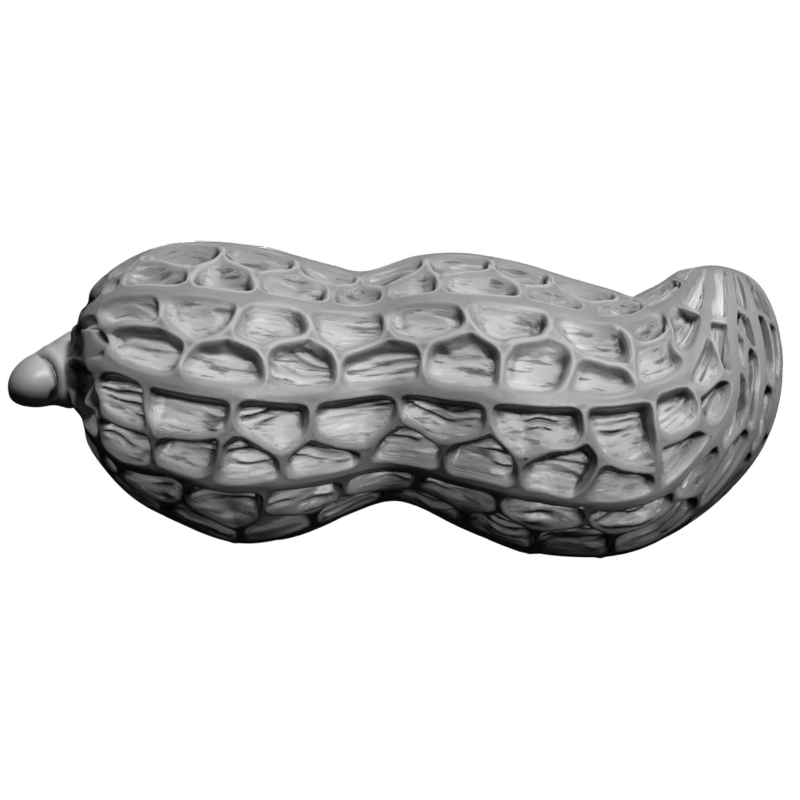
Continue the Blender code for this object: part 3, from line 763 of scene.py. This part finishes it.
def shellMaterial(look):
    material = bpy.data.materials.new("peanutShell")
    material.use_nodes = True
    nodes = material.node_tree.nodes
    links = material.node_tree.links
    surface = nodes["Principled BSDF"]

    def feed(value, socket):  # link a socket, or set a plain number
        if isinstance(value, bpy.types.NodeSocket):
            links.new(value, socket)
        elif socket.type == "RGBA":
            socket.default_value = (value, value, value, 1.0)
        else:
            socket.default_value = value

    def attribute(name):
        node = nodes.new("ShaderNodeAttribute")
        node.attribute_name = name
        return node.outputs["Fac"]

    def mixed(factor, a, b, blend="MIX"):
        node = nodes.new("ShaderNodeMix")
        node.data_type = "RGBA"
        node.blend_type = blend
        feed(factor, node.inputs[0])
        feed(a, node.inputs[6])
        feed(b, node.inputs[7])
        return node.outputs[2]

    def ranged(value, low, high, toLow, toHigh):
        node = nodes.new("ShaderNodeMapRange")
        node.inputs["From Min"].default_value = low
        node.inputs["From Max"].default_value = high
        node.inputs["To Min"].default_value = toLow
        node.inputs["To Max"].default_value = toHigh
        links.new(value, node.inputs["Value"])
        return node.outputs["Result"]

    def maths(kind, a, b):
        node = nodes.new("ShaderNodeMath")
        node.operation = kind
        feed(a, node.inputs[0])
        feed(b, node.inputs[1])
        return node.outputs[0]

    def noise(vector, scale, detail):
        node = nodes.new("ShaderNodeTexNoise")
        node.inputs["Scale"].default_value = scale
        node.inputs["Detail"].default_value = detail
        links.new(vector, node.inputs["Vector"])
        return node.outputs["Fac"]

    spot = nodes.new("ShaderNodeTexCoord").outputs["Object"]
    fibre = nodes.new("ShaderNodeCombineXYZ")  # long along the pod, short across it
    feed(maths("MULTIPLY", attribute("runAlong"), look["lineAlong"]), fibre.inputs[0])
    feed(maths("MULTIPLY", attribute("runAcross"), look["lineAcross"]), fibre.inputs[1])
    feed(maths("MULTIPLY", attribute("ownTone"), 7.0), fibre.inputs[2])
    lines = noise(fibre.outputs[0], 1.0, 3.0)
    mottle = noise(spot, look["mottleSize"], 4.0)
    grain = noise(spot, look["grainSize"], 2.0)

    floorMask = attribute("floorMask")
    stubMask = attribute("stubMask")
    cavity = attribute("cavity")
    steep = attribute("steepMask")
    wallShade = attribute("wallShade")
    # painted shade: floors go darker on the underside and on the top
    floor = mixed(attribute("floorShadeMask"), look["floor"], look["shadedFloor"])
    base = mixed(floorMask, look["ridge"], floor)
    pale = maths("MULTIPLY", floorMask, ranged(lines, 0.58, 0.70, 0.0, 0.65))
    base = mixed(pale, base, look["paleLine"])
    dark = maths("MULTIPLY", floorMask, ranged(lines, 0.43, 0.33, 0.0, 0.80))
    base = mixed(dark, base, look["darkLine"])
    base = mixed(stubMask, base, look["stub"])
    shade = ranged(mottle, 0.3, 0.7, 1.0 - look["mottle"], 1.0 + look["mottle"])
    # the painted light and shade of the cell floors scale the grey
    shade = maths("MULTIPLY", shade, attribute("cellLightShade"))
    base = mixed(1.0, base, shade, "MULTIPLY")
    # painted shade: the grey goes to near black in hollows, on steep walls and on walls facing
    # down
    hollow = maths("MULTIPLY", wallShade, ranged(cavity, 0.02, 0.10, 0.0, 0.75))
    base = mixed(hollow, base, look["paintedShade"])
    wall = maths("MULTIPLY", wallShade, ranged(steep, 0.85, 1.60, 0.0, 0.40))
    base = mixed(wall, base, look["paintedShade"])
    base = mixed(maths("MULTIPLY", attribute("ledgeShadeMask"), 0.985), base, look["paintedShade"])
    # painted highlight: convex edges lightened on the upper side
    edgeHighlight = maths("MULTIPLY", attribute("highlightMask"), ranged(cavity, -0.02, -0.08, 0.0, 0.75))
    base = mixed(edgeHighlight, base, look["rim"])
    # painted shade round the stub's root
    base = mixed(ranged(attribute("stemShade"), 0.10, 0.5, 0.0, 0.97), base, look["root"])
    feed(base, surface.inputs["Base Color"])
    surface.inputs["Specular IOR Level"].default_value = look["specular"]

    rough = ranged(steep, 0.5, 1.2, look["satin"], look["deep"])
    rough = maths("ADD", rough, ranged(grain, 0.3, 0.7, -0.05, 0.05))
    rough = maths("SUBTRACT", rough, maths("MULTIPLY", stubMask, look["polish"]))
    feed(rough, surface.inputs["Roughness"])

    height = maths("MULTIPLY", maths("MULTIPLY", lines, floorMask), look["lineHeight"])
    height = maths("ADD", height, maths("MULTIPLY", grain, look["grainHeight"]))
    bump = nodes.new("ShaderNodeBump")
    bump.inputs["Distance"].default_value = 1.0
    feed(height, bump.inputs["Height"])
    feed(bump.outputs[0], surface.inputs["Normal"])
    return material


piece.data.materials.clear()
piece.data.materials.append(shellMaterial(shellLook))
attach(piece, "root")
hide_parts("peanut")

view = {
    "distance": 66.7,   # mm from the pod's middle plane
    "lens": 50.0,
    "film": 36.0,       # width in mm
    "roll": 2.3,        # degrees, the pod lies a little tilted in the frame
}

studio = {              # metres
    "world": 0.004,     # strength of the light from all round
    "lampSize": 0.12,
    "lampReach": 0.30,  # from the aim, which is this far over the floor
    "aimHeight": 0.009,
    "floorHalf": 3.0,
}

studioLights = [  # name, degrees round towards +X from the front, rise, power in watts
    ("key", 27.0, 45.0, 0.77),
    ("sheen", 14.0, 8.0, 1.80),
    ("back", 195.0, 14.0, 0.50),
]


def makeCamera():
    camera = bpy.data.cameras.new("camera")
    camera.lens = view["lens"]
    camera.sensor_width = view["film"]
    camera.clip_start = 0.001
    holder = bpy.data.objects.new("camera", camera)
    bpy.context.scene.collection.objects.link(holder)
    upright = Matrix.Rotation(math.radians(90.0), 4, "X")
    roll = Matrix.Rotation(math.radians(view["roll"]), 4, "Z")
    spot = Vector((podShift[0], -view["distance"] * mm, podShift[2]))
    holder.matrix_world = Matrix.Translation(spot) @ upright @ roll
    bpy.context.scene.camera = holder


def makeFloor():  # white in the picture, without a shadow or a shine on the pod
    mesh = bpy.data.meshes.new("floor")
    half = studio["floorHalf"]
    corners = [(-half, -half, 0), (half, -half, 0), (half, half, 0), (-half, half, 0)]
    mesh.from_pydata(corners, [], [(0, 1, 2, 3)])
    floor = bpy.data.objects.new("floor", mesh)
    bpy.context.scene.collection.objects.link(floor)
    material = bpy.data.materials.new("floorWhite")
    material.use_nodes = True
    nodes = material.node_tree.nodes
    nodes.clear()
    glow = nodes.new("ShaderNodeEmission")
    glow.inputs["Strength"].default_value = 1.0
    out = nodes.new("ShaderNodeOutputMaterial")
    material.node_tree.links.new(glow.outputs[0], out.inputs[0])
    mesh.materials.append(material)
    floor.visible_diffuse = False
    floor.visible_glossy = False
    floor.visible_shadow = False


def makeWorld():  # white behind the pod for the camera, nearly dark for its surface
    world = bpy.data.worlds.new("studio")
    bpy.context.scene.world = world
    world.use_nodes = True
    nodes = world.node_tree.nodes
    links = world.node_tree.links
    nodes.clear()
    white = nodes.new("ShaderNodeBackground")
    white.inputs["Color"].default_value = (1, 1, 1, 1)
    dim = nodes.new("ShaderNodeBackground")
    dim.inputs["Color"].default_value = (1, 1, 1, 1)
    dim.inputs["Strength"].default_value = studio["world"]
    path = nodes.new("ShaderNodeLightPath")
    mix = nodes.new("ShaderNodeMixShader")
    out = nodes.new("ShaderNodeOutputWorld")
    links.new(path.outputs["Is Camera Ray"], mix.inputs[0])
    links.new(dim.outputs[0], mix.inputs[1])
    links.new(white.outputs[0], mix.inputs[2])
    links.new(mix.outputs[0], out.inputs[0])


def makeLights():  # none casts a shadow, and the low one gives only a shine
    scene = bpy.context.scene
    aim = Vector((0.0, 0.0, studio["aimHeight"]))
    for name, turnDegrees, riseDegrees, power in studioLights:
        turn = math.radians(turnDegrees)
        rise = math.radians(riseDegrees)
        lamp = bpy.data.lights.new(name, "AREA")
        lamp.shape = "DISK"
        lamp.size = studio["lampSize"]
        lamp.energy = power
        lamp.use_shadow = False
        holder = bpy.data.objects.new(name, lamp)
        holder.visible_diffuse = name != "sheen"
        scene.collection.objects.link(holder)
        spot = aim + studio["lampReach"] * Vector((
            math.sin(turn) * math.cos(rise), -math.cos(turn) * math.cos(rise), math.sin(rise)))
        holder.location = spot
        holder.rotation_euler = (aim - spot).to_track_quat("-Z", "Y").to_euler()
    scene.view_settings.view_transform = "Standard"
    scene.view_settings.look = "None"


makeCamera()
makeFloor()
makeWorld()
makeLights()
print("camera, floor and light made")

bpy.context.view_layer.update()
